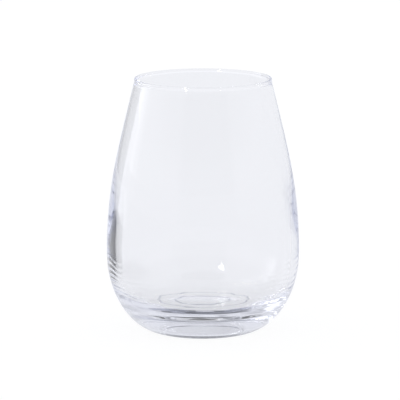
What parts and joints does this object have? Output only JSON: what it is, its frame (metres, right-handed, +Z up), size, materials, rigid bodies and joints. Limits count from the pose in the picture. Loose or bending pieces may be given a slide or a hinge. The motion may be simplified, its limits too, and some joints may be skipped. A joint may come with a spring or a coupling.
{
  "type": "stemless glass tumbler",
  "caption": "Clear glass stemless tumbler for cold drinks, with a heavy rounded base, a low belly and a wall that closes in to a beaded mouth.",
  "frame": {"origin": "on the table, at the middle of the standing ring under the glass", "axes": "+Z up along the glass's own axis, towards the mouth. The glass is round, so +X and +Y are any two level directions at right angles; the picture looks along +Y"},
  "size_m": [0.091, 0.091, 0.12],
  "materials": {
    "clear_glass": "clear soda-lime glass, machine blown, fire polished all over and round the rim"
  },
  "bodies": {
    "root": {"glass_tumbler": "clear_glass"}
  },
  "joints": []
}
